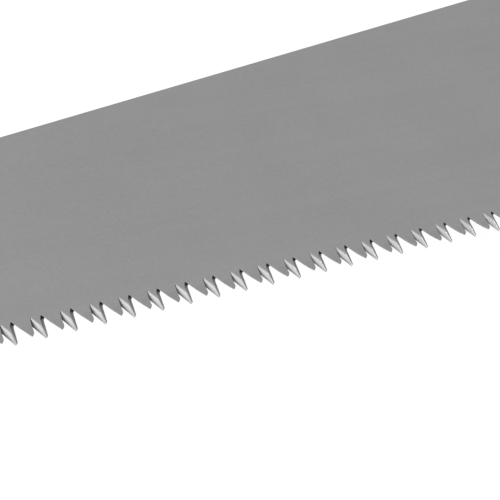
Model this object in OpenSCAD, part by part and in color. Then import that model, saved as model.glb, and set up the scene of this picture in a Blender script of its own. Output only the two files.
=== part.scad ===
// Half-back saw: a tapered steel plate, a folded brass back over the rear part of its back edge,
// and a closed wooden handle held by four saw screws with slotted nuts.
// The saw lies on its side: X runs along the tooth line from toe to handle, Y from teeth to back, Z up.
// The origin lies on the handle's lower cheek, straight above the heel of the tooth line.

/* [Plate] */
// Toothed length, from toe to heel
blade_l = 350; // [250:1:450]
// Depth of the plate at the heel, from the tooth tips to the back edge
heel_depth = 96; // [86:0.5:106]
// Angle between the back edge and the tooth line
back_taper = 8; // [3:0.1:9]
// Thickness of the plate
plate_t = 0.85; // [0.6:0.05:1.2]
// Radius of the toe's upper corner
toe_r = 12; // [2:0.5:20]
// How far the rear edge leans back inside the handle
tang_lean = 13; // [5:0.5:14]
// Diameter of the hanging hole
hang_d = 8; // [4:0.5:12]
// Distance of the hanging hole from the toe and from the back edge
hang_in = 16; // [12:0.5:20]

/* [Teeth] */
// Distance from tooth to tooth
pitch = 2.82; // [2:0.02:3.6]
// Depth of a gullet, from the tips to its root
gullet_depth = 4.65; // [3:0.05:5]
// Lean of a tooth's flank towards the toe, from square to the tooth line
front_angle = 20.8; // [18:0.1:24]
// Lean of a tooth's flank towards the handle
rear_angle = 12; // [9:0.1:14]
// Angle at which the grinding wheel crosses the plate, turned about from gullet to gullet
fleam = 46; // [30:0.5:50]
// Width by which a gullet's root is opened towards the toe, where the wheel crosses to the left
root_w_left = 0.22; // [0.1:0.01:0.6]
// The same where the wheel crosses to the right
root_w_right = 0.43; // [0.1:0.01:0.6]
// Depth over which the gullet's root is rounded
root_round = 1.1; // [0.5:0.05:1.5]
// Rise of the small facet that blunts each tip
tip_angle = 42; // [20:1:45]

/* [Back] */
// Length of the back
back_l = 206; // [120:1:240]
// Depth of the folded strip
back_h = 15; // [10:0.5:18]
// Overall thickness of the folded strip
back_t = 6; // [4:0.1:8]
// How far the fold reaches above the plate's back edge
back_rise = 4; // [2:0.1:5]
// Radius along the folded top edges
back_r = 1.6; // [0.5:0.1:1.9]
// Radius of the nose at the front end
nose_r = 11; // [4:0.5:12]
// Height of the plate's back edge above the origin, at the heel
back_up = 40; // [38:0.1:42]
// How far the back's rear end lies behind the heel
back_in = 24; // [20:0.5:28]

/* [Handle] */
// Thickness of the handle
handle_t = 23; // [19:0.5:27]
// Share of full rounding along the handle's edges
edge_ease = 1; // [0.5:0.05:1]
// Clearance of the plate and the back in the handle
wood_fit = 0.1; // [0.05:0.05:0.3]

/* [Saw screws] */
// Places of the four screws on the cheek
front_at = [-22, 15.5];
rear_at = [8, 20];
medallion_at = [-8, -5];
low_at = [-22, -24];
// Diameter of a screw's head
head_d = 13; // [10:0.5:14]
// Diameter of the medallion's head
medallion_d = 19; // [16:0.5:21]
// Depth of a head in the wood
head_t = 2.6; // [2:0.1:4]
// Width of the medallion's rim
rim_w = 1.2; // [0.6:0.1:2]
// Height of a head's dome over the wood
dome = 0.7; // [0.2:0.1:1.2]
// Width of the square neck
neck_w = 5.8; // [5:0.1:7]
// Length of the square neck
neck_l = 5; // [2:0.1:6]
// Diameter of a shank
shank_d = 4.8; // [3.6:0.1:5]
// Diameter of a nut
nut_d = 12; // [9:0.5:13]
// Thickness of a nut
nut_t = 3; // [2:0.1:4]
// How deep a nut sits under the wood
nut_sunk = 0.2; // [0.1:0.1:0.6]
// Width of a nut's slot
slot_w = 1.6; // [1:0.1:2.4]
// Depth of a nut's slot
slot_h = 1.1; // [0.5:0.1:1.5]
// Clearance around the screws and nuts
screw_fit = 0.1; // [0.05:0.05:0.3]

/* [Hidden] */
$fn = 64;

steel = "#929292";
brass = "#c8a24a";
beech = "#b57f4a";

mid_z = handle_t / 2;               // middle of the plate
toe_x = -blade_l;
tip_y = back_up - heel_depth;       // line of the tooth tips
root_y = tip_y + gullet_depth;      // line of the gullet roots
tang_x = (heel_depth - gullet_depth) * tan(tang_lean);
teeth = floor(blade_l / pitch) - 2;
hang_at = [toe_x + hang_in, back_y(toe_x + hang_in) - hang_in];
screws = [front_at, rear_at, medallion_at, low_at];

// Plate's back edge and the back's top, at a place along the tooth line
function back_y(x) = back_up + x * tan(back_taper);
function back_top(x) = back_y(x) + back_rise / cos(back_taper);

// Middle of a gullet's root along the tooth line, in the middle of the plate
function gullet_x(i) = toe_x + (i + 1) * pitch;

// Tip of the tooth between gullets i - 1 and i, where its flank towards the toe reaches the tip line
function tip_x(i) = gullet_x(i) - pitch - plate_t / 2 * tan(fleam) + gullet_depth * tan(front_angle);

// Smooth closed curve through a list of [x, y, edge radius]
function curve(p, steps) = [for (i = [0 : len(p) - 1], s = [0 : steps - 1])
    let (n = len(p), t = s / steps,
         a = p[(i + n - 1) % n], b = p[i], c = p[(i + 1) % n], d = p[(i + 2) % n])
    ((2 * b) + (c - a) * t + (2 * a - 5 * b + 4 * c - d) * t * t + (3 * b - 3 * c + d - a) * t * t * t) / 2];

// Unit normal on the left of a closed curve's run, at point i
function normal(p, i) = let (n = len(p), d = p[(i + 1) % n] - p[(i + n - 1) % n])
    [-d[1], d[0]] / norm([d[0], d[1]]);

// Handle's outline from the top of its front edge, clockwise: x, y and the rounding of the edge
outline = [
    [-53, 29, 2.5], [-53, back_top(-53) - 2, 2.5], [-47, back_top(-47), 2.5],
    [-20, back_top(-20), 2.5], [6, back_top(6), 3], [24, back_top(24) + 2.5, 4],
    [42, 57, 4.5], [61, 65, 5], [76, 70, 4.5], [86, 68.5, 4], [88, 60.5, 4.5], [84.5, 50, 6],
    [87.5, 38, 8], [99, 19.5, 9], [111.5, -1, 9], [121, -18, 8], [132, -30, 5], [142, -37.5, 4],
    [145.5, -46, 4], [138, -54, 4], [120, -57, 4.5], [97, -56, 4.5], [73, -51.5, 4.5], [47, -46, 4.5],
    [20, -41.5, 4], [-10, -38.5, 3], [-30, -35, 2.5], [-39, -29.5, 2.5], [-41, -22, 2.5], [-35, -14, 2.5],
    [-29, -4, 2.5], [-29, 8, 2.5], [-37, 19, 2.5], [-47, 25, 2.5]];

// Hand hole, clockwise from its upper front
hand_hole = [
    [34, 34, 4], [44, 38.5, 5], [54, 36, 6], [62, 24, 8], [72, 5, 9], [83, -14, 9], [89, -28, 6],
    [83, -37.5, 4.5], [68, -37.5, 4], [52, -31, 4], [40, -18, 4], [32.5, 0, 4], [30, 19, 4]];

// One ring of an edge-rounded slab: turn 0 on the side wall, 90 on the face; grow is -1 inwards, 1 outwards
function ring(p, turn, grow, up) = [for (i = [0 : len(p) - 1])
    let (r = p[i][2] * edge_ease, n = normal(p, i), z = r * (1 - sin(turn)))
    [p[i][0] + grow * n[0] * r * (1 - cos(turn)), p[i][1] + grow * n[1] * r * (1 - cos(turn)),
     up ? handle_t - z : z]];

// Twice the signed area of a triangle, below 0 where its corners run clockwise
function turn_of(a, b, c) = (b[0] - a[0]) * (c[1] - a[1]) - (b[1] - a[1]) * (c[0] - a[0]);

// Whether corner k of a clockwise loop of points sticks out, with no other corner in the triangle it makes
function is_ear(p, loop, k) =
    let (n = len(loop), a = p[loop[(k + n - 1) % n]], b = p[loop[k]], c = p[loop[(k + 1) % n]])
    turn_of(a, b, c) < 0 && len([for (j = [2 : n - 2]) let (q = p[loop[(k + j) % n]])
        if (turn_of(a, b, q) <= 0 && turn_of(b, c, q) <= 0 && turn_of(c, a, q) <= 0) j]) == 0;
function next_ear(p, loop, k) = is_ear(p, loop, k) ? k : next_ear(p, loop, (k + 1) % len(loop));

// Triangles that fill a clockwise loop of points, cut off one after another on the way round
function ears(p, loop, k = 0) = len(loop) == 3 ? [loop] :
    let (n = len(loop), e = next_ear(p, loop, k))
    concat([[loop[(e + n - 1) % n], loop[e], loop[(e + 1) % n]]],
           ears(p, [for (j = [0 : n - 1]) if (j != e) loop[j]], (e + 1) % (n - 1)));

// Solid through a stack of clockwise rings with the same number of points
module skin(rings) {
    n = len(rings[0]);
    last = len(rings) - 1;
    all_round = [for (i = [0 : n - 1]) i];
    polyhedron(
        points = [for (r = rings, q = r) q],
        faces = concat(
            [for (t = ears(rings[0], all_round)) [t[2], t[1], t[0]]],
            [for (t = ears(rings[last], all_round)) [for (i = t) last * n + i]],
            [for (k = [0 : last - 1], i = [0 : n - 1])
                [k * n + i, (k + 1) * n + (i + 1) % n, (k + 1) * n + i]],
            [for (k = [0 : last - 1], i = [0 : n - 1])
                [k * n + i, k * n + (i + 1) % n, (k + 1) * n + (i + 1) % n]]));
}

// Slab of the handle's thickness with rounded edges; a hole's slab flares and runs past both faces
module eased(p, grow, past) {
    turns = [90, 67, 45, 22, 0];
    skin(concat(
        past > 0 ? [[for (q = ring(p, 90, grow, false)) q - [0, 0, past]]] : [],
        [for (a = turns) ring(p, a, grow, false)],
        [for (k = [len(turns) - 1 : -1 : 0]) ring(p, turns[k], grow, true)],
        past > 0 ? [[for (q = ring(p, 90, grow, true)) q + [0, 0, past]]] : []));
}

// Section of a gullet around its root, opened towards the toe by a rounded corner
module gullet_section(root_w) {
    squash = cos(fleam);
    deep = gullet_depth + pitch;
    polygon(concat(
        [[deep * tan(front_angle) * squash, -deep], [0, 0]],
        [for (a = [22.5 : 22.5 : 90]) let (d = root_round * (1 - cos(a)))
            [-(root_w * sin(a) + d * tan(rear_angle)) * squash, -d]],
        [[-(root_w + deep * tan(rear_angle)) * squash, -deep]]));
}

// Gullets cut by a wheel that crosses the plate at the fleam angle, left and right by turns
module gullets() {
    reach = plate_t + 4 * pitch;
    for (i = [0 : teeth]) {
        left = i % 2 == 0;
        translate([gullet_x(i), root_y, mid_z])
            rotate([0, left ? fleam : -fleam, 0])
                linear_extrude(height = reach, center = true)
                    gullet_section(left ? root_w_left : root_w_right);
    }
}

// Plate before the gullets are cut: the tips are already blunted by a facet that rises towards the handle
module plate_blank() {
    facet = 0.36 * pitch;
    corner = [toe_x + toe_r, back_y(toe_x) - toe_r * (1 - sin(back_taper)) / cos(back_taper)];
    polygon(concat(
        [[toe_x, tip_y]],
        [for (i = [1 : teeth], s = [-0.25, 1])
            [tip_x(i) + s * facet, tip_y + s * facet * tan(tip_angle)]],
        [[0, tip_y], [0, root_y], [tang_x, tip_y + heel_depth + tang_x * tan(back_taper)]],
        [for (a = [90 + back_taper : 10 : 180]) corner + toe_r * [cos(a), sin(a)]]));
}

module saw_plate() {
    color(steel) difference() {
        translate([0, 0, mid_z - plate_t / 2]) linear_extrude(height = plate_t) plate_blank();
        gullets();
        translate([hang_at[0], hang_at[1], 0]) cylinder(d = hang_d, h = handle_t);
        for (s = screws)
            translate([s[0], s[1], 0]) cylinder(d = shank_d + 2 * screw_fit, h = handle_t);
    }
}

// Puts a shape drawn along the back, from its rear end forwards, in its place on the plate
module along_back() {
    translate([back_in, back_y(back_in), mid_z]) rotate([0, 0, back_taper]) children();
}

// Fold of the back, seen along it: y from the plate's back edge, x across
module fold() {
    half = back_t / 2;
    foot = back_rise - back_h;
    round_top = [for (a = [0 : 15 : 90])
        [half - back_r + back_r * cos(a), back_rise - back_r + back_r * sin(a)]];
    polygon(concat(
        [[plate_t / 2, 0], [plate_t / 2, foot], [half, foot]],
        round_top,
        [for (k = [len(round_top) - 1 : -1 : 0]) [-round_top[k][0], round_top[k][1]]],
        [[-half, foot], [-plate_t / 2, foot], [-plate_t / 2, 0]]));
}

module back() {
    color(brass) along_back() intersection() {
        rotate([0, -90, 0]) linear_extrude(height = back_l) fold();
        // side view, with the lower front corner taken away by the nose radius
        translate([0, 0, -back_t]) linear_extrude(height = 2 * back_t)
            polygon(concat(
                [[0, back_rise], [-back_l, back_rise]],
                [for (a = [180 : 15 : 270])
                    [-back_l + nose_r, back_rise - back_h + nose_r] + nose_r * [cos(a), sin(a)]],
                [[0, back_rise - back_h]]));
    }
}

// Room for one screw: bore, square mortise for the neck, and a recess for the head and for the nut
module screw_room(at, d) {
    translate([at[0], at[1], 0]) {
        translate([0, 0, -1]) cylinder(d = shank_d + 2 * screw_fit, h = handle_t + 2);
        translate([0, 0, handle_t - head_t]) cylinder(d = d + 2 * screw_fit, h = head_t + 1);
        translate([-neck_w / 2 - screw_fit, -neck_w / 2 - screw_fit, handle_t - head_t - neck_l - screw_fit])
            cube([neck_w + 2 * screw_fit, neck_w + 2 * screw_fit, neck_l + 2 * screw_fit]);
        translate([0, 0, -1]) cylinder(d = nut_d + 2 * screw_fit, h = nut_sunk + nut_t + 1);
    }
}

module handle() {
    kerf = plate_t + 2 * wood_fit;
    past = blade_l / 4;
    color(beech) difference() {
        eased(curve(outline, 5), -1, 0);
        eased(curve(hand_hole, 6), 1, 1);
        // saw kerf for the plate
        translate([0, 0, mid_z - kerf / 2]) linear_extrude(height = kerf)
            polygon([[-past, tip_y - past], [wood_fit, tip_y - past], [wood_fit, root_y],
                     [tang_x + wood_fit, back_y(tang_x)], [-past, back_y(-past)]]);
        // mortise for the back, open at the top
        along_back() translate([-back_l, back_rise - back_h - wood_fit, -back_t / 2 - wood_fit])
            cube([back_l + wood_fit, back_h + heel_depth, back_t + 2 * wood_fit]);
        for (s = screws) screw_room(s, s == medallion_at ? medallion_d : head_d);
    }
}

// Saw screw: domed head, square neck, and a shank that ends level with its nut
module saw_screw(at, d) {
    ball = (d * d / 4 + dome * dome) / (2 * dome);
    color(brass) translate([at[0], at[1], 0]) {
        intersection() {
            translate([0, 0, handle_t - head_t]) cylinder(d = d, h = head_t + dome);
            translate([0, 0, handle_t + dome - ball]) sphere(r = ball, $fn = 128);
        }
        translate([-neck_w / 2, -neck_w / 2, handle_t - head_t - neck_l]) cube([neck_w, neck_w, neck_l]);
        translate([0, 0, nut_sunk]) cylinder(d = shank_d, h = handle_t - head_t - nut_sunk);
    }
}

// Saw screw with a larger head: a plain dome inside a raised rim
module medallion_screw(at) {
    saw_screw(at, medallion_d);
    color(brass) translate([at[0], at[1], handle_t - head_t]) difference() {
        cylinder(d = medallion_d, h = head_t + dome);
        cylinder(d = medallion_d - 2 * rim_w, h = head_t + 2 * dome);
    }
}

module slotted_nut(at) {
    color(brass) translate([at[0], at[1], nut_sunk]) difference() {
        cylinder(d = nut_d, h = nut_t);
        translate([0, 0, -1]) cylinder(d = shank_d + screw_fit, h = nut_t + 2);
        translate([-nut_d, -slot_w / 2, -1]) cube([2 * nut_d, slot_w, slot_h + 1]);
    }
}

saw_plate();
back();
handle();
saw_screw(front_at, head_d);  // screw_front
saw_screw(rear_at, head_d);  // screw_rear
medallion_screw(medallion_at);  // screw_medallion
saw_screw(low_at, head_d);  // screw_low
slotted_nut(front_at);  // nut_front
slotted_nut(rear_at);  // nut_rear
slotted_nut(medallion_at);  // nut_medallion
slotted_nut(low_at);  // nut_low
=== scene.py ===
import math

import bmesh
import bpy
from mathutils import Matrix, Vector


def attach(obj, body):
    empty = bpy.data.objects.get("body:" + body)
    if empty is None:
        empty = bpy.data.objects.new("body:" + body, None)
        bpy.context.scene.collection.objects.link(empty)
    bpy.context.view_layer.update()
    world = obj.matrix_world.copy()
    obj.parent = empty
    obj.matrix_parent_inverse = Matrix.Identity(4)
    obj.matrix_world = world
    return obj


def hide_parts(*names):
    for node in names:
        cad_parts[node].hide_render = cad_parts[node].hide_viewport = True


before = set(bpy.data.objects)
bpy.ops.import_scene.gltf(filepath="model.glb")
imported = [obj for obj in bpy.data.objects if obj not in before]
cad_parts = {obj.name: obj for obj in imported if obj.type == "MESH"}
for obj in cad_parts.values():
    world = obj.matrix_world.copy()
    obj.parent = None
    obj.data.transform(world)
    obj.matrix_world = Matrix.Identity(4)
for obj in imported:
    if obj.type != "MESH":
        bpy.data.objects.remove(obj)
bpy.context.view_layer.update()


# Saw plate: a tapered sheet of hardened steel, blasted to a matte grey, with a hanging hole at the
# toe. A thin wheel that crosses the sheet left and right by turns grinds the gullets, which leaves
# bright flanks; the teeth are then set, one to each side. The tang sits in the handle's kerf.
mm = 0.001
plate_length = 350.0
plate_thick = 0.85
plate_mid = 11.5                      # height of the sheet's middle over the floor
heel_depth = 96.0
back_edge_up = 40.0                   # back edge over the origin, at the heel
back_taper = math.radians(8)
toe_radius = 12.0
toe_steps = 12
tang_lean = math.radians(13)
hang_radius = 4.0
hang_inset = 16.0
bolt_places = [(-22.0, 15.5), (8.0, 20.0), (-8.0, -5.0), (-22.0, -24.0)]
bolt_bore = 2.5
drill_long = 20.0
around = 64                           # corners of a round hole, recess or head

pitch = 2.82
gullet_depth = 4.65
flank_to_toe = math.radians(20.8)
flank_to_heel = math.radians(12)
fleam = math.radians(46)
root_open = (0.22, 0.43)              # opening of the root where the wheel leans one way and the other
root_round = 1.1
tip_rise = math.radians(42)
tip_share = 0.36                      # blunted part of a tooth's pitch
tip_early = 0.25                      # share of that by which the blunting starts before the flank
tooth_set = 0.25                      # sideways throw of each tip
set_depth = 2.9                       # height of the bent part of a tooth
root_ahead = 0.49                     # from a root to the middle of the next tooth, in pitches
split_every = 5                       # gullets between two splits of the sheet
upper_dull = 0.2                      # rounding of the teeth's edges below the bend, on the upper side
lower_dull = 0.1                      # the same on the lower side
sheet_dull = 0.08                     # rounding of the sheet's other edges
shade_full = 1.2                       # depth of the painted shade under the roots, on a flank's far side
shade_fade = 2.2                       # length over which the painted shade fades
shade_least = 0.38                     # share of the painted shade that is left at the tip
heel_flank_shade = 0.5                 # share of it on the flanks towards the heel
sheet_normal = 0.95                   # faces whose normal is more upright than this are the sheet's own
root_normal = -0.45                   # faces that look more downwards than this are roots

tip_line = back_edge_up - heel_depth
root_line = tip_line + gullet_depth
bend_line = tip_line + set_depth
tang_reach = (heel_depth - gullet_depth) * math.tan(tang_lean)
tooth_count = math.floor(plate_length / pitch) - 2


def back_edge(x):
    """Height of the plate's back edge over the origin, at a place along the tooth line."""
    return back_edge_up + x * math.tan(back_taper)


def gullet_place(i):
    return -plate_length + (i + 1) * pitch


def tip_place(i):
    """Where a tooth's flank towards the toe reaches the tip line."""
    return (gullet_place(i) - pitch - plate_thick / 2 * math.tan(fleam)
            + gullet_depth * math.tan(flank_to_toe))


def make_piece(name, corners, faces):
    """A new object at the origin, from corners in millimetres and their faces."""
    mesh = bpy.data.meshes.new(name)
    mesh.from_pydata([Vector(c) * mm for c in corners], [], faces)
    piece = bpy.data.objects.new(name, mesh)
    bpy.context.scene.collection.objects.link(piece)
    return piece


def discard(*tools):
    for tool in tools:
        bpy.data.objects.remove(tool)


def outward(piece):
    """Merges doubles and turns all faces of a closed mesh outwards."""
    bm = bmesh.new()
    bm.from_mesh(piece.data)
    bmesh.ops.remove_doubles(bm, verts=bm.verts, dist=1e-7)
    bmesh.ops.recalc_face_normals(bm, faces=bm.faces)
    bm.to_mesh(piece.data)
    bm.free()


def skinned(name, rings, capped=True):
    """Closed solid through a stack of rings, capped at its ends or joined up round a bore."""
    n, count = len(rings[0]), len(rings)
    faces = []
    for k in range(count - 1 if capped else count):
        low, high = k * n, (k + 1) % count * n
        faces += [(low + i, low + (i + 1) % n, high + (i + 1) % n, high + i) for i in range(n)]
    if capped:
        faces += [[*range(n)], [(count - 1) * n + i for i in range(n)]]
    solid = make_piece(name, [corner for ring in rings for corner in ring], faces)
    outward(solid)
    return solid


def settle(piece):
    """Turns a piece and its modifiers into one plain mesh."""
    bpy.context.view_layer.update()
    depsgraph = bpy.context.evaluated_depsgraph_get()
    made = bpy.data.meshes.new_from_object(
        piece.evaluated_get(depsgraph), preserve_all_data_layers=True, depsgraph=depsgraph)
    piece.modifiers.clear()
    piece.data = made
    made.name = piece.name
    return made


def dull_edges(piece, widest, segments, width, angle=28):
    """Rounds the sharp edges of a piece, each by the width that its middle calls for."""
    bm = bmesh.new()
    bm.from_mesh(piece.data)
    weight = bm.edges.layers.float.new("bevel_weight_edge")
    for edge in bm.edges:
        if edge.calc_face_angle(0.0) > math.radians(angle):
            edge[weight] = width((edge.verts[0].co + edge.verts[1].co) / 2 / mm) / widest
    bm.to_mesh(piece.data)
    bm.free()
    bevel = piece.modifiers.new("dull_edges", "BEVEL")
    bevel.width, bevel.segments = widest * mm, segments
    bevel.limit_method, bevel.use_clamp_overlap = "WEIGHT", False
    settle(piece)


def place(piece, slot, *nodes):
    """Fixes a finished piece to the saw, in the place of its solids."""
    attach(piece, "root")
    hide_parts(*nodes)


class Wire:
    """A socket in a node tree; arithmetic on it adds the nodes for it."""

    def __init__(self, tree, socket=None):
        self.tree, self.socket = tree, socket

    def node(self, kind, settings=None, sockets=None, out=0):
        """A new node with these settings and inputs; returns one of its outputs."""
        made = self.tree.nodes.new(kind)
        for name, value in (settings or {}).items():
            setattr(made, name, value)
        for key, value in (sockets or {}).items():
            if isinstance(value, Wire):
                self.tree.links.new(value.socket, made.inputs[key])
            else:
                made.inputs[key].default_value = value
        return Wire(self.tree, made.outputs[out])

    def out(self, name):
        """Another output of the same node."""
        return Wire(self.tree, self.socket.node.outputs[name])

    def feed(self, shader, name):
        self.tree.links.new(self.socket, shader.inputs[name])

    def math(self, operation, first, second=0.0):
        return self.node("ShaderNodeMath", {"operation": operation}, {0: first, 1: second})

    def __add__(self, other):
        return self.math("ADD", self, other)

    def __sub__(self, other):
        return self.math("SUBTRACT", self, other)

    def __rsub__(self, other):
        return self.math("SUBTRACT", other, self)

    def __mul__(self, other):
        return self.math("MULTIPLY", self, other)

    __radd__, __rmul__ = __add__, __mul__

    def mix(self, first, second, share):
        """Colour between two colours."""
        return self.node("ShaderNodeMix", {"data_type": "RGBA"}, {0: share, 6: first, 7: second}, 2)

    def steps(self, low, high):
        """0 below low, 1 above high, and a smooth rise between."""
        return self.node("ShaderNodeMapRange", {"interpolation_type": "SMOOTHSTEP"},
                         {0: self, 1: low, 2: high, 3: 0.0, 4: 1.0})

    def noise(self, where, scale, detail=2.0, roughness=0.5):
        return self.node("ShaderNodeTexNoise", {},
                         {"Vector": where, "Scale": scale, "Detail": detail, "Roughness": roughness})

    def stretched(self, where, scale, turn=0.0):
        """Coordinates turned about Z and then stretched, for grain and brushing."""
        return self.node("ShaderNodeMapping", {"vector_type": "TEXTURE"},
                         {"Vector": where, "Rotation": (0, 0, turn), "Scale": scale})

    def bump(self, height, strength, distance):
        return self.node("ShaderNodeBump", {},
                         {"Height": height, "Strength": strength, "Distance": distance})


def new_finish(name):
    """A material, its shader, and a wire to start its nodes from."""
    finish = bpy.data.materials.new(name)
    finish.use_nodes = True
    return finish, finish.node_tree.nodes["Principled BSDF"], Wire(finish.node_tree)


def grey(value):
    return (value, value, value, 1.0)


def blasted_steel():
    """Matte grey sheet with bright, finely scratched flanks where the wheel has been, and near-black painted
    shade in the roots and along each flank's far edge.
    """
    finish, shader, w = new_finish("blasted_steel")
    at = w.node("ShaderNodeTexCoord", out="Object")
    ground = w.node("ShaderNodeAttribute", {"attribute_name": "ground"}, out="Fac")
    burnt = w.node("ShaderNodeAttribute", {"attribute_name": "burnt"}, out="Fac").steps(0.22, 0.9)
    grit = w.noise(at, 1700.0, 3.0, 0.65)
    cloud = w.noise(at, 55.0, 3.0, 0.55)
    rolled = w.noise(w.stretched(at, (0.09, 0.0035, 0.0035)), 1.0, 3.0, 0.6)
    shade = 0.5 * grit + 0.3 * cloud + 0.2 * rolled
    sheet = w.mix(grey(0.30), grey(0.45), shade)
    streak = w.noise(w.stretched(at, (0.01, 0.00016, 0.01)), 1.0, 3.0, 0.6)
    # the near-black grey is painted shade, mixed into the flanks at the roots and along their far edges
    flank = w.mix(w.mix(grey(0.44), grey(0.58), streak), grey(0.08), burnt)
    w.mix(sheet, flank, ground).feed(shader, "Base Color")
    shader.inputs["Metallic"].default_value = 1.0
    matte = 0.44 + 0.12 * cloud
    bright = 0.24 + 0.16 * streak + 0.2 * burnt
    (matte + ground * (bright - matte)).feed(shader, "Roughness")
    relief = (1 - ground) * grit * 0.6 + ground * streak * 0.5
    w.bump(relief, 0.35, 0.00006).feed(shader, "Normal")
    return finish


def plate_blank():
    """Sheet before grinding: outline with blunted tips, split along the line where the teeth bend and
    across it at every few gullets, so that no face is a long sliver."""
    blunt = tip_share * pitch
    tips = [(tip_place(i) + s * blunt, tip_line + s * blunt * math.tan(tip_rise))
            for i in range(1, tooth_count + 1) for s in (-tip_early, 1)]
    low = [(-plate_length, tip_line), *tips, (0.0, tip_line)]
    rear_top = tip_line + heel_depth + tang_reach * math.tan(back_taper)
    drop = toe_radius * (1 - math.sin(back_taper)) / math.cos(back_taper)
    toe_centre = (-plate_length + toe_radius, back_edge(-plate_length) - drop)
    start = math.pi / 2 + back_taper
    turns = [start + k / toe_steps * (math.pi - start) for k in range(toe_steps + 1)]
    toe_arc = [(toe_centre[0] + toe_radius * math.cos(a), toe_centre[1] + toe_radius * math.sin(a))
               for a in turns]
    high = [(0.0, root_line), (tang_reach, rear_top), *toe_arc]
    ring = low + [(0.0, bend_line)] + high + [(-plate_length, bend_line)]
    n, heel = len(ring), len(low)
    corners = [(x, y, plate_mid + side * plate_thick / 2) for side in (-1, 1) for x, y in ring]
    toothed = [*range(heel + 1), n - 1]
    upper = [*range(heel, n)]
    faces = [[n + i for i in toothed], [n + i for i in upper], toothed[::-1], upper[::-1]]
    faces += [(i, (i + 1) % n, n + (i + 1) % n, n + i) for i in range(n)]
    sheet = make_piece("saw_plate_steel", corners, faces)
    bm = bmesh.new()
    bm.from_mesh(sheet.data)
    for k in range(split_every, tooth_count, split_every):
        bmesh.ops.bisect_plane(bm, geom=[*bm.verts, *bm.edges, *bm.faces],
                               plane_co=(gullet_place(k) * mm, 0, 0), plane_no=(1, 0, 0))
    bm.to_mesh(sheet.data)
    bm.free()
    return sheet


def grinding_wheel(open_by):
    """Run of the wheel's rim through the sheet: the section of one gullet, drawn across."""
    squash, deep, reach = math.cos(fleam), gullet_depth + pitch, plate_thick / 2 + 2 * pitch
    bend = root_line - bend_line
    turns = [math.radians(a) for a in (22.5, 45, 67.5, 90)]
    rise = [root_round * (1 - math.cos(a)) for a in turns]
    root = [-(open_by * math.sin(a) + d * math.tan(flank_to_heel)) for a, d in zip(turns, rise)]
    section = [(deep * math.tan(flank_to_toe), -deep), (bend * math.tan(flank_to_toe), -bend), (0, 0),
               *zip(root, [-d for d in rise]),
               (-(open_by + bend * math.tan(flank_to_heel)), -bend),
               (-(open_by + deep * math.tan(flank_to_heel)), -deep)]
    rings = [[(x * squash, y, side * reach) for x, y in section] for side in (-1, 1)]
    return skinned("grinding_wheel", rings)


def named_inputs(tree, wanted):
    """Gives a tree one geometry output and these inputs; returns the inputs' identifiers."""
    tree.interface.new_socket("Made", in_out="OUTPUT", socket_type="NodeSocketGeometry")
    found = {}
    for name, kind in wanted:
        socket = tree.interface.new_socket(name, in_out="INPUT", socket_type="NodeSocket" + kind)
        found[name] = socket.identifier
    return found


def grinding_tree():
    """Takes gullets and round holes out of the sheet; returns the tree and its inputs' names."""
    tree = bpy.data.node_groups.new("gullet_grinding", "GeometryNodeTree")
    wanted = [("Sheet", "Geometry"), ("Wheel 0", "Object"), ("Wheel 1", "Object"), ("Holes", "Object"),
              ("First", "Vector"), ("Pitch", "Float"), ("Fleam", "Float"), ("Gullets", "Int"),
              ("Finish", "Material")]
    inputs = named_inputs(tree, wanted)
    w = Wire(tree)
    given = w.node("NodeGroupInput", out="Sheet")
    step = given.out("Pitch") * 2.0
    runs = []
    for side in (0, 1):
        wheel = w.node("GeometryNodeObjectInfo", {}, {"Object": given.out(f"Wheel {side}")}, "Geometry")
        shift = w.node("ShaderNodeCombineXYZ", {}, {0: given.out("Pitch") * float(side)})
        first = w.node("ShaderNodeVectorMath", {"operation": "ADD"}, {0: given.out("First"), 1: shift})
        line = w.node("GeometryNodeMeshLine", {"mode": "OFFSET"},
                      {"Count": given.out("Gullets"), "Start Location": first,
                       "Offset": w.node("ShaderNodeCombineXYZ", {}, {0: step})}, "Mesh")
        tilt = w.node("ShaderNodeCombineXYZ", {}, {1: given.out("Fleam") * float(1 - 2 * side)})
        turn = w.node("FunctionNodeEulerToRotation", {}, {0: tilt})
        put = w.node("GeometryNodeInstanceOnPoints", {},
                     {"Points": line, "Instance": wheel, "Rotation": turn})
        runs.append(w.node("GeometryNodeRealizeInstances", {}, {0: put}))
    drill = w.node("GeometryNodeMeshCylinder", {},
                   {"Vertices": around, "Radius": 1.0, "Depth": drill_long * mm}, "Mesh")
    holes = w.node("GeometryNodeObjectInfo", {}, {"Object": given.out("Holes")}, "Geometry")
    size = w.node("GeometryNodeInputNamedAttribute", {"data_type": "FLOAT"}, {"Name": "radius"}, "Attribute")
    wide = w.node("ShaderNodeCombineXYZ", {}, {0: size, 1: size, 2: 1.0})
    put = w.node("GeometryNodeInstanceOnPoints", {}, {"Points": holes, "Instance": drill, "Scale": wide})
    runs.append(w.node("GeometryNodeRealizeInstances", {}, {0: put}))
    cut = given
    for run in runs:
        cut = w.node("GeometryNodeMeshBoolean", {"operation": "DIFFERENCE", "solver": "MANIFOLD"},
                     {"Mesh 1": cut, "Mesh 2": run}, "Mesh")
    whole = w.node("GeometryNodeRealizeInstances", {}, {0: cut})
    done = w.node("GeometryNodeSetMaterial", {}, {"Geometry": whole, "Material": given.out("Finish")})
    last = tree.nodes.new("NodeGroupOutput")
    done.feed(last, 0)
    return tree, inputs


def plate_dull(at):
    """Width of the rounding of an edge of the plate, at a place."""
    if at.y > bend_line:
        return sheet_dull
    return upper_dull if at.z > plate_mid else lower_dull


def run_tree(piece, tree, inputs, **values):
    """Runs a tree on a piece with these inputs, and keeps the result as a plain mesh."""
    modifier = piece.modifiers.new(tree.name, "NODES")
    modifier.node_group = tree
    for name, value in values.items():
        modifier[inputs[name]] = value
    made = settle(piece)
    if made.materials[0] is None:
        made.materials.pop(index=0)


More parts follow.
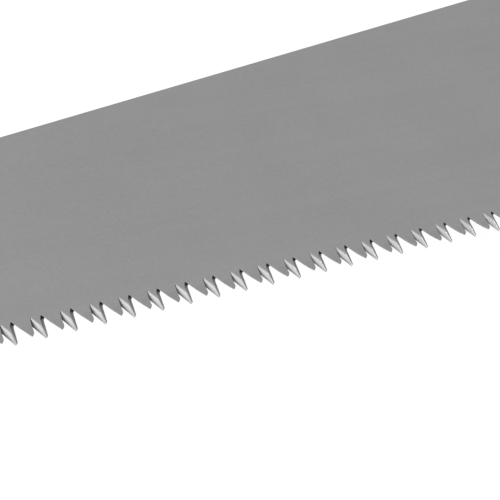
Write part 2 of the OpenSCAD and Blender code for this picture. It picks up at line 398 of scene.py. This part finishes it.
plate = plate_blank()
wheels = [grinding_wheel(open_by) for open_by in root_open]
hang_at = -plate_length + hang_inset
holes = make_piece("hole_places", [(hang_at, back_edge(hang_at) - hang_inset, plate_mid)]
                   + [(x, y, plate_mid) for x, y in bolt_places], [])
radius = holes.data.attributes.new("radius", "FLOAT", "POINT")
radius.data.foreach_set("value", [hang_radius * mm] + [bolt_bore * mm] * len(bolt_places))
tree, inputs = grinding_tree()
run_tree(plate, tree, inputs, **{"Wheel 0": wheels[0], "Wheel 1": wheels[1]}, Holes=holes,
         First=(gullet_place(0) * mm, root_line * mm, plate_mid * mm), Pitch=pitch * mm,
         Fleam=fleam, Gullets=(tooth_count + 1) // 2, Finish=blasted_steel())
discard(*wheels, holes)

# teeth bent to their sides, edges dulled by the deburring brush, the faces that the wheel has ground marked,
# and painted shade laid on them near the roots and along the far edge of each flank
for v in plate.data.vertices:
    under = bend_line - v.co.y / mm
    if under > 0.001:
        tooth = round((v.co.x / mm - gullet_place(0)) / pitch + root_ahead)
        v.co.z += (-1 if tooth % 2 else 1) * tooth_set * under / set_depth * mm
dull_edges(plate, upper_dull, 3, plate_dull)
ground = plate.data.attributes.new("ground", "FLOAT", "FACE")
burnt = plate.data.attributes.new("burnt", "FLOAT", "CORNER")
for face in plate.data.polygons:
    by_wheel = face.center.y < root_line * mm and abs(face.normal.z) < sheet_normal
    at_root = by_wheel and face.normal.y < root_normal and face.center.y > bend_line * mm
    ground.data[face.index].value = 1.0 if by_wheel else 0.0
    # painted shade: full on the roots; on the flanks it fades away from the root and towards the near edge,
    # and is weaker on the flanks towards the heel
    for corner in face.loop_indices if by_wheel else ():
        at = plate.data.vertices[plate.data.loops[corner].vertex_index].co / mm
        far_side = 0.5 - math.copysign(1, face.normal.z) * (at.z - plate_mid) / plate_thick
        near_root = 1 - (root_line - at.y - shade_full) / shade_fade
        shade_amount = min(1.0, max(shade_least, near_root)) * min(1.0, max(0.0, far_side))
        if face.normal.x > 0:
            shade_amount *= heel_flank_shade
        burnt.data[corner].value = 1.0 if at_root else shade_amount
place(plate, "steel", "saw_plate")


# Back: a strip of brass folded over the rear part of the plate's back edge, to stiffen it, and
# pinched on by its own spring. Its nose is rounded, and its rear end sits in the handle's mortise.
back_length = 206.0
back_deep = 15.0
back_thick = 6.0
back_rise = 4.0                       # fold over the plate's back edge
fold_radius = 1.6
nose_radius = 11.0
back_behind = 24.0                    # rear end of the strip behind the heel
lip_dull = 0.5                        # rounding of the strip's two lips
end_dull = 0.35                       # rounding of its rear end
nose_foot = -0.4                      # height of the lips at the nose's end, from the plate's back edge
nose_dull = 0.5                       # length over which the nose's end is rounded
nose_ends = [(0.15, 0.2), (0.0, 0.6)]  # way left to the end, and how far the section has drawn in
strip_steps = 12
slot_half = plate_thick / 2 + 0.02


def satin_brass():
    """Brass rubbed along its length: fine lines, a slow change of tone, brown where hands don't reach."""
    finish, shader, w = new_finish("satin_brass")
    at = w.node("ShaderNodeTexCoord", out="Object")
    lines = w.noise(w.stretched(at, (0.06, 0.00022, 0.00022), back_taper), 1.0, 3.0, 0.65)
    cloud = w.noise(w.stretched(at, (0.03, 0.009, 0.009), back_taper), 1.0, 3.0, 0.55)
    spots = w.noise(at, 420.0, 4.0, 0.7).steps(0.62, 0.78)
    tone = w.mix((0.53, 0.335, 0.10, 1), (0.70, 0.475, 0.165, 1), 0.65 * cloud + 0.35 * lines)
    dulled = w.mix(tone, (0.30, 0.17, 0.055, 1), 0.6 * cloud.steps(0.5, 0.78) + 0.4 * spots)
    dulled.feed(shader, "Base Color")
    shader.inputs["Metallic"].default_value = 1.0
    (0.25 + 0.16 * lines + 0.16 * cloud + 0.12 * spots).feed(shader, "Roughness")
    w.bump(lines, 0.22, 0.00005).feed(shader, "Normal")
    return finish


def fold_section(low, pull):
    """Section of the fold, from lip to lip: across, and up from the plate's back edge."""
    half, top, lift = back_thick / 2 - pull, back_rise - pull, low + pull
    radius = min(fold_radius, half, (top - lift) / 2)
    arc = [math.radians(a) for a in range(0, 91, 15)]
    lip = [math.radians(a) for a in (-90, -60, -30, 0)]
    dull = min(lip_dull, (top - lift) / 4)
    side = [(slot_half, 0.0), (slot_half, lift)]
    side += [(half - dull + dull * math.cos(a), lift + dull + dull * math.sin(a)) for a in lip]
    side += [(half - radius + radius * math.cos(a), top - radius + radius * math.sin(a)) for a in arc]
    return side + [(-x, y) for x, y in side[::-1]]


def folded_strip():
    """Strip drawn from its rear end to the nose, where the lips run up in an arc."""
    foot = back_rise - back_deep
    turn = [math.radians(a) for a in range(0, 91, 9)]
    reach = nose_radius - nose_dull
    stations = [(0.0, foot, end_dull), (-end_dull, foot, 0.0)]
    stations += [(-k / strip_steps * (back_length - nose_radius), foot, 0.0) for k in range(1, strip_steps)]
    stations += [(-back_length + nose_radius - reach * math.sin(a),
                  min(foot + nose_radius * (1 - math.cos(a)), nose_foot), 0.0) for a in turn]
    stations += [(-back_length + before, nose_foot, pull) for before, pull in nose_ends]
    rings = []
    for along, low, pull in stations:
        ring = []
        for across, up in fold_section(low, pull):
            x = back_behind + along * math.cos(back_taper) - up * math.sin(back_taper)
            y = back_edge(back_behind) + along * math.sin(back_taper) + up * math.cos(back_taper)
            ring.append((x, y, plate_mid + across))
        rings.append(ring)
    return skinned("folded_back", rings)


def smooth(piece, angle=30):
    """Smooth shading, with edges kept sharp over this angle."""
    piece.data.polygons.foreach_set("use_smooth", [True] * len(piece.data.polygons))
    piece.data.set_sharp_from_angle(angle=math.radians(angle))


back = folded_strip()
smooth(back)
brass = satin_brass()
back.data.materials.append(brass)
place(back, "brass", "back")


# Handle: a closed handle sawn from a beech board, its edges rounded by hand, most of all round the
# grip, and oiled. It has a kerf for the plate, an open mortise for the back and bores for the screws.
handle_thick = 23.0
wood_fit = 0.1                        # clearance round the plate and the back
grain_turn = 0.12                     # run of the grain against the tooth line
year_wide = 0.0032                    # one year's growth, in metres


def back_top(x):
    return back_edge(x) + back_rise / math.cos(back_taper)


# x, y and rounding of the edge, clockwise from the top of the front edge
handle_outline = [
    (-53, 29, 2.5), (-53, back_top(-53) - 2, 2.5), (-47, back_top(-47), 2.5),
    (-20, back_top(-20), 2.5), (6, back_top(6), 3), (24, back_top(24) + 2.5, 4),
    (42, 57, 4.5), (61, 65, 5), (76, 70, 4.5), (86, 68.5, 4), (88, 60.5, 4.5), (84.5, 50, 6),
    (87.5, 38, 8), (99, 19.5, 9), (111.5, -1, 9), (121, -18, 8), (132, -30, 5), (142, -37.5, 4),
    (145.5, -46, 4), (138, -54, 4), (120, -57, 4.5), (97, -56, 4.5), (73, -51.5, 4.5), (47, -46, 4.5),
    (20, -41.5, 4), (-10, -38.5, 3), (-30, -35, 2.5), (-39, -29.5, 2.5), (-41, -22, 2.5), (-35, -14, 2.5),
    (-29, -4, 2.5), (-29, 8, 2.5), (-37, 19, 2.5), (-47, 25, 2.5)]
hand_hole = [
    (34, 34, 4), (44, 38.5, 5), (54, 36, 6), (62, 24, 8), (72, 5, 9), (83, -14, 9), (89, -28, 6),
    (83, -37.5, 4.5), (68, -37.5, 4), (52, -31, 4), (40, -18, 4), (32.5, 0, 4), (30, 19, 4)]
head_radius = 6.5
medallion_radius = 9.5
head_deep = 2.6                       # depth of a head in the wood
nut_radius = 6.0
nut_thick = 3.0
nut_sunk = 0.2
neck_half = 2.9
neck_long = 5.0
shank_radius = 2.4
rim_ease = 0.45                       # rounding of the wood round the heads and nuts
cheek_round = 2.5                     # rounding of an edge that no hand wears
grip_extra = 5.5                      # how much rounder the edge is where it is worn most
worn_at = 0.625                       # share of the way round an edge where the wear is full
cutter_past = 90.0                    # reach of the cutters out of the board, at its front
cutter_over = 60.0                    # the same over its top
medallion_at = bolt_places[2]


def drawn_curve(points, steps):
    """Smooth closed curve through a list of points."""
    found, n = [], len(points)
    for i in range(n):
        a, b, c, d = (Vector(points[(i + k) % n]) for k in (-1, 0, 1, 2))
        for s in range(steps):
            t = s / steps
            found.append((2 * b + (c - a) * t + (2 * a - 5 * b + 4 * c - d) * t * t
                          + (3 * b - 3 * c + d - a) * t ** 3) / 2)
    return found


def rounded_rings(curve, grow, turns):
    """Rings of an edge-rounded board, from its lower face to its upper; grow is 1 round a hole."""
    n, rings = len(curve), []
    normals = []
    for i in range(n):
        run = curve[(i + 1) % n] - curve[i - 1]
        normals.append(Vector((-run.y, run.x)).normalized())
    for upper in (False, True):
        for turn in turns[::-1] if upper else turns:
            ring = []
            for p, normal in zip(curve, normals):
                out = grow * p.z * (1 - math.cos(turn))
                z = p.z * (1 - math.sin(turn))
                ring.append((p.x + normal.x * out, p.y + normal.y * out, handle_thick - z if upper else z))
            rings.append(ring)
    return rings


def oiled_beech():
    """Beech sawn along the saw: arched yearly bands, short dark flecks, and a low oiled sheen."""
    finish, shader, w = new_finish("oiled_beech")
    at = w.node("ShaderNodeTexCoord", out="Object")
    worn = w.node("ShaderNodeAttribute", {"attribute_name": "worn"}, out="Fac")
    along = w.node("ShaderNodeSeparateXYZ", {}, {0: w.stretched(at, (1.0, 1.0, 1.0), grain_turn)}, "X")
    warp = w.noise(w.stretched(at, (0.12, 0.03, 0.03), grain_turn), 1.0, 2.0, 0.5)
    over = along.out("Z") + 0.16 * along + 0.05
    beside = along.out("Y") + 0.07
    heart = w.math("SQRT", over * over + beside * beside) + 0.012 * warp
    year = w.math("FRACT", heart * (1 / year_wide))
    late = year.steps(0.4, 0.9) - year.steps(0.9, 1.0)
    cloud = w.noise(w.stretched(at, (0.09, 0.018, 0.018), grain_turn), 1.0, 3.0, 0.55)
    fibre = w.noise(w.stretched(at, (0.02, 0.00035, 0.00035), grain_turn), 1.0, 3.0, 0.65)
    dashes = w.noise(w.stretched(at, (0.0042, 0.00055, 0.00055), grain_turn), 1.0, 1.0, 0.5)
    fleck = dashes.steps(0.62, 0.70)
    figure = 0.30 * late + 0.45 * cloud + 0.25 * fibre
    plain = w.mix((0.60, 0.345, 0.16, 1), (0.40, 0.195, 0.075, 1), figure)
    flecked = w.mix(plain, (0.235, 0.105, 0.04, 1), fleck * (0.5 + 0.3 * cloud))
    handled = w.mix(flecked, (0.30, 0.14, 0.052, 1), 0.38 * worn)
    handled.feed(shader, "Base Color")
    (0.5 - 0.1 * fibre - 0.14 * worn + 0.1 * fleck).feed(shader, "Roughness")
    (0.18 + 0.3 * worn).feed(shader, "Coat Weight")
    shader.inputs["Coat Roughness"].default_value = 0.28
    w.bump(0.7 * fibre - 0.8 * fleck + 0.2 * late, 0.3, 0.00012).feed(shader, "Normal")
    return finish


def handle_board():
    """Board with its hand hole and rounded edges, before the kerf and the bores are cut."""
    turns = [math.radians(a) for a in (90, 78, 66, 54, 42, 30, 18, 7, 0)]
    bm = bmesh.new()
    worn = bm.verts.layers.float.new("worn")
    edges = {0: [], 1: []}
    for points, steps, grow in ((handle_outline, 8, -1), (hand_hole, 12, 1)):
        curve = drawn_curve(points, steps)
        rings = rounded_rings(curve, grow, turns)
        rows = []
        for k, ring in enumerate(rings):
            row = [bm.verts.new(Vector(c) * mm) for c in ring]
            for v, p in zip(row, curve):
                away = min(k, len(rings) - 1 - k) / (len(turns) - 1)
                v[worn] = min(1.0, away / worn_at) * min(1.0, max(0.0, (p.z - cheek_round) / grip_extra))
            rows.append(row)
        n = len(curve)
        for low, high in zip(rows, rows[1:]):
            for i in range(n):
                face = bm.faces.new((low[i], low[(i + 1) % n], high[(i + 1) % n], high[i]))
                face.smooth = True
        for side, row in ((0, rows[0]), (1, rows[-1])):
            edges[side] += [bm.edges.get((row[i], row[(i + 1) % n])) for i in range(n)]
    for rim in edges.values():
        bmesh.ops.triangle_fill(bm, use_beauty=True, use_dissolve=False, edges=rim)
    bmesh.ops.recalc_face_normals(bm, faces=bm.faces)
    mesh = bpy.data.meshes.new("beech_handle")
    bm.to_mesh(mesh)
    bm.free()
    board = bpy.data.objects.new("beech_handle", mesh)
    bpy.context.scene.collection.objects.link(board)
    return board


def prism(name, outline, low, high):
    """Upright block from an outline of x and y."""
    return skinned(name, [[(x, y, z) for x, y in outline] for z in (low, high)])


def ring_points(x, y, radius):
    turns = [2 * math.pi * k / around for k in range(around)]
    return [(x + radius * math.cos(a), y + radius * math.sin(a)) for a in turns]


def round_room(name, x, y, radius, floor, face):
    """Round recess between its floor and a cheek, with the rim eased by hand."""
    way = math.copysign(1, face - floor)
    steps = [(floor, radius)]
    for turn in (0, 30, 60, 90):
        a = math.radians(turn)
        steps.append((face - way * rim_ease * (1 - math.sin(a)), radius + rim_ease * (1 - math.cos(a))))
    steps.append((face + way, radius + rim_ease))
    return skinned(name, [[(*p, z) for p in ring_points(x, y, r)] for z, r in steps])


def handle_cutters():
    """Kerf, mortise, and for each screw a bore, a square for its neck and two round recesses."""
    kerf, past, over = plate_thick / 2 + wood_fit, cutter_past, cutter_over
    made = [prism("kerf", [(-past, tip_line - past), (wood_fit, tip_line - past), (wood_fit, root_line),
                           (tang_reach + wood_fit, back_edge(tang_reach)), (-past, back_edge(-past))],
                  plate_mid - kerf, plate_mid + kerf)]
    corner = Vector((back_behind, back_edge(back_behind)))
    along = Vector((math.cos(back_taper), math.sin(back_taper)))
    up = Vector((-along.y, along.x))
    foot = back_rise - back_deep - wood_fit
    sides = [(wood_fit, foot), (wood_fit, over), (-past, over), (-past, foot)]
    made.append(prism("mortise", [tuple(corner + along * a + up * b) for a, b in sides],
                      plate_mid - back_thick / 2 - wood_fit, plate_mid + back_thick / 2 + wood_fit))
    for k, (x, y) in enumerate(bolt_places):
        head = (medallion_radius if (x, y) == medallion_at else head_radius) + wood_fit
        half, under = neck_half + wood_fit, handle_thick - head_deep
        square = [(x - half, y - half), (x + half, y - half), (x + half, y + half), (x - half, y + half)]
        made += [prism(f"bore_{k}", ring_points(x, y, bolt_bore), -1.0, handle_thick + 1),
                 round_room(f"head_room_{k}", x, y, head, under, handle_thick),
                 prism(f"neck_room_{k}", square, under - neck_long - wood_fit, under + wood_fit),
                 round_room(f"nut_room_{k}", x, y, nut_radius + wood_fit, nut_sunk + nut_thick, 0.0)]
    return made


handle = handle_board()
cutters = handle_cutters()
for cutter in cutters:
    cut = handle.modifiers.new(cutter.name, "BOOLEAN")
    cut.operation, cut.solver, cut.object = "DIFFERENCE", "MANIFOLD", cutter
settle(handle)
discard(*cutters)
handle.data.materials.clear()
handle.data.materials.append(oiled_beech())
place(handle, "beech", "handle")


# Saw screws: turned brass screws with a low domed head let into the wood, a square neck that keeps
# them from turning, and a plain medallion head among them; round split nuts on the other cheek.
dome_high = 0.7
rim_wide = 1.2
head_dull = 0.35
nut_slot_half = 0.8
nut_slot_deep = 1.1
head_ease = 0.12                      # rounding of a plain head's upper edge
nut_ease = 0.3                        # rounding of a nut's outer edge


def turned_brass():
    """Brass from the lathe: fine rings round each axis, a rubbed crown, tarnish in patches, and painted
    shade darkening its outer edge.
    """
    finish, shader, w = new_finish("turned_brass")
    at = w.node("ShaderNodeTexCoord", out="Object")
    out = w.node("ShaderNodeAttribute", {"attribute_name": "from_axis"}, out="Fac")
    rim = w.node("ShaderNodeAttribute", {"attribute_name": "towards_rim"}, out="Fac")
    rings = w.math("SINE", out * 34.0) * 0.5 + 0.5
    patch = w.noise(at, 260.0, 3.0, 0.6)
    scuff = w.noise(w.stretched(at, (0.006, 0.0002, 0.0002), 0.7), 1.0, 3.0, 0.65)
    # tarnish in random patches, plus painted shade of the gap round each head and nut, darkening its outer
    # edge
    tarnish_and_rim_shade = 0.6 * patch.steps(0.5, 0.8) + (0.35 + 0.5 * patch) * rim.steps(0.86, 1.0)
    tone = w.mix((0.70, 0.47, 0.155, 1), (0.50, 0.31, 0.09, 1), 0.7 * patch + 0.2 * rings)
    w.mix(tone, (0.20, 0.11, 0.038, 1), w.math("MINIMUM", tarnish_and_rim_shade, 1.0)).feed(shader, "Base Color")
    shader.inputs["Metallic"].default_value = 1.0
    (0.2 + 0.08 * rings + 0.18 * patch + 0.08 * scuff).feed(shader, "Roughness")
    w.bump(0.6 * rings + 0.5 * scuff, 0.25, 0.00004).feed(shader, "Normal")
    return finish


def turned(name, profile, capped=True):
    """Solid through rings of (height, radius, square): round, or on a square of that half width."""
    rings = []
    for z, radius, square in profile:
        ring = []
        for k in range(around):
            a = 2 * math.pi * (k + 0.5) / around
            far = radius / max(abs(math.cos(a)), abs(math.sin(a))) if square else radius
            ring.append((far * math.cos(a), far * math.sin(a), z))
        rings.append(ring)
    return skinned(name, rings, capped)


def keep_distance(solid):
    """Writes each corner's distance from the Z axis in millimetres, and as a share of the widest."""
    far = [v.co.xy.length / mm for v in solid.data.vertices]
    for name, over in (("from_axis", 1.0), ("towards_rim", max(far))):
        kept = solid.data.attributes.new(name, "FLOAT", "POINT")
        kept.data.foreach_set("value", [f / over for f in far])


def shank_profile(radius):
    """Screw from its shank's end up to the edge of its head, heights over the floor."""
    under = handle_thick - head_deep
    return [(nut_sunk, shank_radius - 0.3, False), (nut_sunk + 0.3, shank_radius, False),
            (under - neck_long, shank_radius, False), (under - neck_long, neck_half, True),
            (under, neck_half, True), (under, radius - head_dull, False),
            (under + head_dull, radius, False)]


def dome_profile(radius, base, rise, crown=0.35):
    """Rings of a low dome, from its edge to the flat left at its crown."""
    ball = (radius ** 2 + rise ** 2) / (2 * rise)
    reach = [radius * (1 - k / 9) for k in range(10)][:-1] + [crown]
    return [(base + math.sqrt(ball ** 2 - r ** 2) - (ball - rise), r, False) for r in reach]


def plain_head():
    edge = head_radius
    body = shank_profile(edge)
    body += [(handle_thick - head_ease, edge, False), (handle_thick, edge - head_ease, False)]
    return turned("screw_pattern", body + dome_profile(edge - 0.3, handle_thick + 0.03, dome_high - 0.03))


def medallion_head():
    """Larger head: a plain dome inside a raised rim."""
    edge, top = medallion_radius, handle_thick + dome_high
    inner = edge - rim_wide
    rim = [(top - 0.4, edge, False), (top - 0.12, edge - 0.1, False), (top, edge - 0.4, False),
           (top, inner + 0.35, False), (top - 0.1, inner + 0.1, False),
           (handle_thick + 0.02, inner - 0.1, False)]
    return turned("medallion_screw", shank_profile(edge) + rim
                  + dome_profile(inner - 0.25, handle_thick + 0.02, dome_high - 0.06))


def split_nut():
    """Round nut, eased at its outer edge, with a slot across it for the split driver."""
    low, high, bore = nut_sunk, nut_sunk + nut_thick, shank_radius + 0.05
    profile = [(low, bore + 0.15, False), (low, nut_radius - nut_ease, False),
               (low + 0.1, nut_radius - 0.09, False), (low + nut_ease, nut_radius, False),
               (high, nut_radius, False), (high, bore, False), (low + 0.15, bore, False)]
    nut = turned("nut_pattern", profile, capped=False)
    across, wide = 2 * nut_radius, nut_slot_half
    slot = prism("slot", [(-across, -wide), (across, -wide), (across, wide), (-across, wide)],
                 low - 1, low + nut_slot_deep)
    cut = nut.modifiers.new("slot", "BOOLEAN")
    cut.operation, cut.solver, cut.object = "DIFFERENCE", "MANIFOLD", slot
    settle(nut)
    discard(slot)
    return nut


def fixing_tree():
    """Puts a turned piece at each place, each turned by chance about its axis."""
    tree = bpy.data.node_groups.new("screws_in_place", "GeometryNodeTree")
    wanted = [("Places", "Geometry"), ("Pattern", "Object"), ("Most Turn", "Float"), ("Seed", "Int"),
              ("Finish", "Material")]
    inputs = named_inputs(tree, wanted)
    w = Wire(tree)
    given = w.node("NodeGroupInput", out="Places")
    pattern = w.node("GeometryNodeObjectInfo", {}, {"Object": given.out("Pattern")}, "Geometry")
    chance = w.node("FunctionNodeRandomValue", {"data_type": "FLOAT"},
                    {2: 0.0, 3: given.out("Most Turn"), "Seed": given.out("Seed")}, 1)
    turn = w.node("FunctionNodeEulerToRotation", {}, {0: w.node("ShaderNodeCombineXYZ", {}, {2: chance})})
    put = w.node("GeometryNodeInstanceOnPoints", {},
                 {"Points": given, "Instance": pattern, "Rotation": turn})
    whole = w.node("GeometryNodeRealizeInstances", {}, {0: put})
    done = w.node("GeometryNodeSetMaterial", {}, {"Geometry": whole, "Material": given.out("Finish")})
    done.feed(tree.nodes.new("NodeGroupOutput"), 0)
    return tree, inputs


tree, inputs = fixing_tree()
lathe_brass = turned_brass()
for name, pattern, places, most_turn, nodes in (
        ("saw_screws", plain_head(), [p for p in bolt_places if p != medallion_at], 0.0,
         ("screw_front", "screw_rear", "screw_low")),
        ("medallion", medallion_head(), [medallion_at], 0.0, ("screw_medallion",)),
        ("split_nuts", split_nut(), bolt_places, math.pi,
         ("nut_front", "nut_rear", "nut_medallion", "nut_low"))):
    smooth(pattern)
    keep_distance(pattern)
    fixings = make_piece(name, [(x, y, 0.0) for x, y in places], [])
    run_tree(fixings, tree, inputs, Pattern=pattern, Seed=4, Finish=lathe_brass, **{"Most Turn": most_turn})
    discard(pattern)
    place(fixings, "brass", *nodes)


# Studio: a pale floor under the saw, a white room that is brighter towards its window, and two soft
# lamps, one low beyond the toe and one over the handle. The camera stands close over the toe half of
# the plate, as in the photograph.
camera_at = Vector((-0.46455, -0.27715, 0.25042))
camera_right = Vector((0.8565, -0.4827, 0.1831))
camera_up = Vector((0.1935, 0.6290, 0.7530))
camera_lens = 149.4

floor_half = 9000.0
floor_drop = 0.2                      # gap that keeps the floor clear of the lower cheek
floor_white = 1.06                    # floor without shadow, where 1 is white
floor_lit = 0.55                      # tone of the floor where the lamps alone light it
floor_plain = 0.36                    # share of plain white near the handle
floor_rise = 0.50                     # its rise away from the handle
floor_mirrored = 0.25                 # share of plain white that the metal mirrors
handle_middle = (0.04, 0.0, 0.0)
room_low = 0.28                       # light of the room from below
room_rise = 0.40                      # its rise upwards
window_rise = 0.22                    # its rise towards the window
window_towards = Vector((0.12, 0.80, 0.59))

floor = make_piece("floor", [(x, y, -floor_drop) for x, y in (
    (-floor_half, -floor_half), (floor_half, -floor_half),
    (floor_half, floor_half), (-floor_half, floor_half))], [(0, 1, 2, 3)])
paper, shader, w = new_finish("pale_floor")
shader.inputs["Base Color"].default_value = grey(0.5)
shader.inputs["Roughness"].default_value = 0.9
ray = w.node("ShaderNodeLightPath", out="Is Camera Ray")
from_handle = w.node("ShaderNodeVectorMath", {"operation": "DISTANCE"},
                     {0: w.node("ShaderNodeTexCoord", out="Object"), 1: handle_middle}, "Value")
plain = floor_plain + floor_rise * from_handle.steps(0.08, 0.30)
mirrored = ray.out("Is Glossy Ray") * floor_mirrored + ray.out("Is Transmission Ray")
seen = w.math("MINIMUM", ray * plain + mirrored, 1.0)
bright = w.math("DIVIDE", floor_white - floor_lit * (1 - plain), plain)
white = w.node("ShaderNodeCombineColor", {}, {0: bright, 1: bright, 2: bright})
glow = w.node("ShaderNodeEmission", {}, {"Color": white, "Strength": 1.0})
lit = Wire(paper.node_tree, shader.outputs[0])
w.node("ShaderNodeMixShader", {}, {0: seen, 1: lit, 2: glow}).feed(
    paper.node_tree.nodes["Material Output"], "Surface")
floor.data.materials.append(paper)

room = bpy.data.worlds.new("white_room")
room.use_nodes = True
bpy.context.scene.world = room
w = Wire(room.node_tree)
ray = w.node("ShaderNodeLightPath", out="Is Camera Ray")
towards = w.node("ShaderNodeTexCoord", out="Generated")
up = w.node("ShaderNodeSeparateXYZ", {}, {0: towards}, "Z")
window = w.node("ShaderNodeVectorMath", {"operation": "DOT_PRODUCT"},
                {0: towards, 1: window_towards.normalized()}, "Value").steps(0.35, 0.98)
dome = room_low + room_rise * up.steps(-0.1, 0.9) + window_rise * window
white = dome + ray * (1 - dome)
w.node("ShaderNodeCombineColor", {}, {0: white, 1: white, 2: white}).feed(
    room.node_tree.nodes["Background"], "Color")


def soft_lamp(name, aim, towards, distance, size, power):
    """A square lamp that shines on a point from a direction."""
    lamp = bpy.data.lights.new(name, "AREA")
    lamp.shape, lamp.size, lamp.energy = "SQUARE", size, power
    stand = bpy.data.objects.new(name, lamp)
    direction = Vector(towards).normalized()
    stand.location = Vector(aim) + direction * distance
    stand.rotation_euler = direction.to_track_quat("Z", "Y").to_euler()
    bpy.context.scene.collection.objects.link(stand)


soft_lamp("toe_softbox", aim=(-0.28, -0.03, 0.01), towards=(-0.88, 0.10, 0.40),
          distance=1.3, size=1.1, power=4.2)
soft_lamp("key_softbox", aim=(0.0, 0.0, 0.01), towards=(-0.30, -0.45, 0.84),
          distance=1.1, size=0.7, power=5.0)

lens = bpy.data.cameras.new("camera")
lens.lens, lens.sensor_width = camera_lens, 36.0
lens.clip_start = 0.01
camera = bpy.data.objects.new("camera", lens)
axes = Matrix((camera_right, camera_up, camera_right.cross(camera_up))).transposed()
camera.matrix_world = Matrix.Translation(camera_at) @ axes.to_4x4()
bpy.context.scene.collection.objects.link(camera)
bpy.context.scene.camera = camera
bpy.context.scene.view_settings.view_transform = "Standard"
